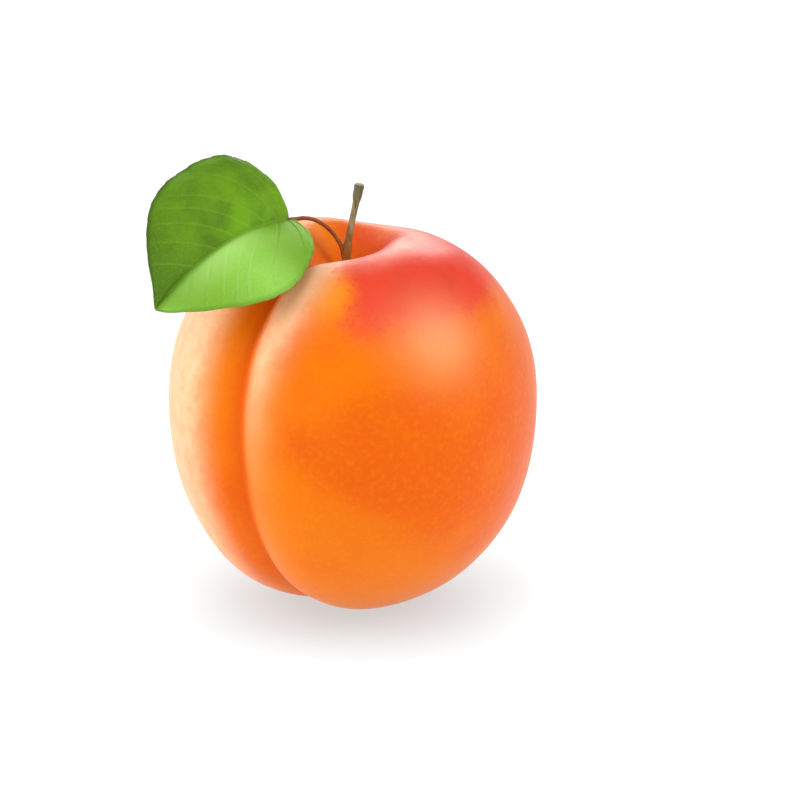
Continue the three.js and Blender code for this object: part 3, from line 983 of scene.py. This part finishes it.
# %% [markdown]
# ## Twig
# The twig is a short woody spur that rises out of the cavity. It is thickest at its foot, narrows
# to a neck and ends in a knob with a pale cut face. Its outline is a short list of radii along the
# route, and its furrows are a wave round it, roughened by noise.

# %% Twig
TWIG_ROUTE = np.array([
    (-0.45, -0.32, 44.3),
    (-0.56, -0.40, 46.6),
    (-0.36, -0.28, 49.6),
    (0.10, 0.06, 52.6),
    (0.58, 0.42, 55.4),
    (0.88, 0.65, 57.6),
])
TWIG_OUTLINE = np.array([
    (0.00, 0.94), (0.05, 0.80), (0.12, 0.63), (0.20, 0.56), (0.27, 0.56), (0.33, 0.62), (0.37, 0.60),
    (0.43, 0.49), (0.55, 0.43), (0.68, 0.42), (0.78, 0.46), (0.83, 0.60), (0.87, 0.66), (0.92, 0.62),
    (0.965, 0.66), (0.99, 0.60), (1.00, 0.50),
])
TWIG_SIDES = 48
TWIG_RINGS = 150
FURROWS = 7
FURROW_DEPTH = 0.03
FURROW_TWIST = 5
ROUGHNESS_DEPTH = 0.07
ROUGH_AROUND = 1.6
ROUGH_ALONG = 9


def twig_radius(t, angle):
    radius = np.interp(t, TWIG_OUTLINE[:, 0], TWIG_OUTLINE[:, 1])
    places = [np.cos(angle) * ROUGH_AROUND, np.sin(angle) * ROUGH_AROUND, t * ROUGH_ALONG]
    rough = np.array([noise.noise(Vector(place)) for place in zip(*places)])
    furrow = np.cos(angle * FURROWS + FURROW_TWIST * t + 2 * rough)
    return radius * (1 + ROUGHNESS_DEPTH * rough + FURROW_DEPTH * furrow)


twig_shape, along_twig, _ = bend_stem(TWIG_ROUTE, twig_radius, TWIG_SIDES, TWIG_RINGS)
twig = keep_piece("fruiting_twig", twig_shape, "twig")
keep_field(twig, "along_twig", along_twig)
print("twig rings:", TWIG_RINGS, "furrows:", FURROWS)

# %% [markdown]
# ## Leaf stalk
# The leaf stalk leaves the twig near its foot and arches over the shoulder to the blade. It swells
# where it joins each of them and carries two tiny glands just below the blade, as apricot stalks do.

# %% Leaf stalk
STALK_ROUTE = np.array([
    (-0.70, -0.54, 47.9),
    (-1.16, -0.94, 49.5),
    (-1.80, -1.52, 50.9),
    (-2.60, -2.38, 52.1),
    (-3.55, -3.40, 52.95),
    (-4.6, -4.5, 53.2),
    (-5.62, -6.15, 53.05),
])
STALK_SIDES = 32
STALK_RINGS = 140
STALK_RADIUS = 0.27
FOOT = {"swell": 0.26, "length": 0.07}
NECK = {"swell": 0.12, "start": 0.86}
STALK_RIDGES = {"count": 3, "depth": 0.03, "twist": 4}
GLANDS = ((0.83, 1.0), (0.86, 2.5))
GLAND_SIZE = 0.13
GLAND_LENGTH = 0.016
GLAND_WIDTH = 0.55


def gland_field(t, angle):
    """1 on each of the two tiny glands that sit on the stalk just below the blade."""
    field = np.zeros_like(t)
    for place, around_stalk in GLANDS:
        turned = np.angle(np.exp(1j * (angle - around_stalk))) / GLAND_WIDTH
        along = (t - place) / GLAND_LENGTH
        field = np.maximum(field, bell(np.hypot(along, turned), 1.0))
    return field


def stalk_radius(t, angle):
    foot = FOOT["swell"] * np.exp(-t / FOOT["length"])
    neck = NECK["swell"] * smoothstep(t, NECK["start"], 1.0)
    ridges = np.cos(STALK_RIDGES["count"] * angle + STALK_RIDGES["twist"] * t)
    plain = (STALK_RADIUS + foot + neck) * (1 + STALK_RIDGES["depth"] * ridges)
    return plain + GLAND_SIZE * gland_field(t, angle)


stalk_shape, along_stalk, round_stalk = bend_stem(STALK_ROUTE, stalk_radius, STALK_SIDES, STALK_RINGS)
stalk = keep_piece("leaf_petiole", stalk_shape, "leaf_stalk")
keep_field(stalk, "along_stalk", along_stalk)
keep_field(stalk, "gland", gland_field(along_stalk, round_stalk))
print("stalk rings:", STALK_RINGS, "glands:", len(GLANDS))

# %% [markdown]
# ## Stem finishes
# The bark is olive grey in long streaks with pale dots, browner at the foot and darker on the knob.
# The stalk is a brownish red, mottled with ochre, most of all near the twig. Both follow the
# places along each stem that were kept with its vertices.

# %% Bark
BARK_OLIVE = paint(172, 162, 112)
BARK_DARK = paint(84, 76, 44)
FOOT_BROWN = paint(168, 122, 44)
KNOB_GREY = paint(88, 92, 62)
CUT_WOOD = paint(196, 186, 142)
LENTICEL = paint(196, 186, 140)
STREAKS_PER_METRE = (1900, 1900, 330)
DOTS_PER_METRE = (1500, 1500, 800)
STREAK_DEPTH = 0.12 * MM

bark = Finish("twig_bark")
along = bark.attribute("along_twig")
streaks = bark.clouds(per_metre=1.0, detail=4.0, rough=0.65, where=bark.stretched(STREAKS_PER_METRE))
streaks = bark.ramp(streaks, 0.35, 0.68)
bark_colour = bark.blend(streaks, BARK_DARK, BARK_OLIVE)
foot = bark.ramp(along, 0.30, 0.62, start=0.9, end=0.0)
bark_colour = bark.blend(foot, bark_colour, FOOT_BROWN)
knob = bark.ramp(along, 0.78, 0.88, start=0.0, end=0.8)
bark_colour = bark.blend(knob, bark_colour, KNOB_GREY)
long_dots = bark.cells(per_metre=1.0, where=bark.stretched(DOTS_PER_METRE))
long_dots = bark.ramp(long_dots, 0.10, 0.24, start=0.5, end=0.0)
bark_colour = bark.blend(long_dots, bark_colour, LENTICEL)
cut_face = bark.ramp(along, 0.985, 0.998, start=0.0, end=0.8)
bark_colour = bark.blend(cut_face, bark_colour, CUT_WOOD)
bark.set(Base_Color=bark_colour, Roughness=0.7, Normal=bark.bump(streaks, STREAK_DEPTH))
twig.data.materials.append(bark.material)
print("bark nodes:", len(bark.tree.nodes))

# %% Stalk rind
STALK_RED = paint(130, 58, 28)
STALK_OCHRE = paint(184, 128, 56)
GLAND_RED = paint(84, 18, 12)
RIND_DEPTH = 0.04 * MM

rind = Finish("stalk_rind")
patchy = rind.ramp(rind.clouds(per_metre=900, detail=3.0), 0.35, 0.65)
ochre_shows = rind.ramp(rind.attribute("along_stalk"), 0.05, 0.45, start=0.85, end=0.25)
rind_colour = rind.blend(rind.times(patchy, ochre_shows), STALK_RED, STALK_OCHRE)
on_gland = rind.ramp(rind.attribute("gland"), 0.2, 0.6)
rind_colour = rind.blend(on_gland, rind_colour, GLAND_RED)
rind.set(Base_Color=rind_colour, Roughness=0.5, Normal=rind.bump(patchy, RIND_DEPTH))
stalk.data.materials.append(rind.material)
print("rind nodes:", len(rind.tree.nodes))
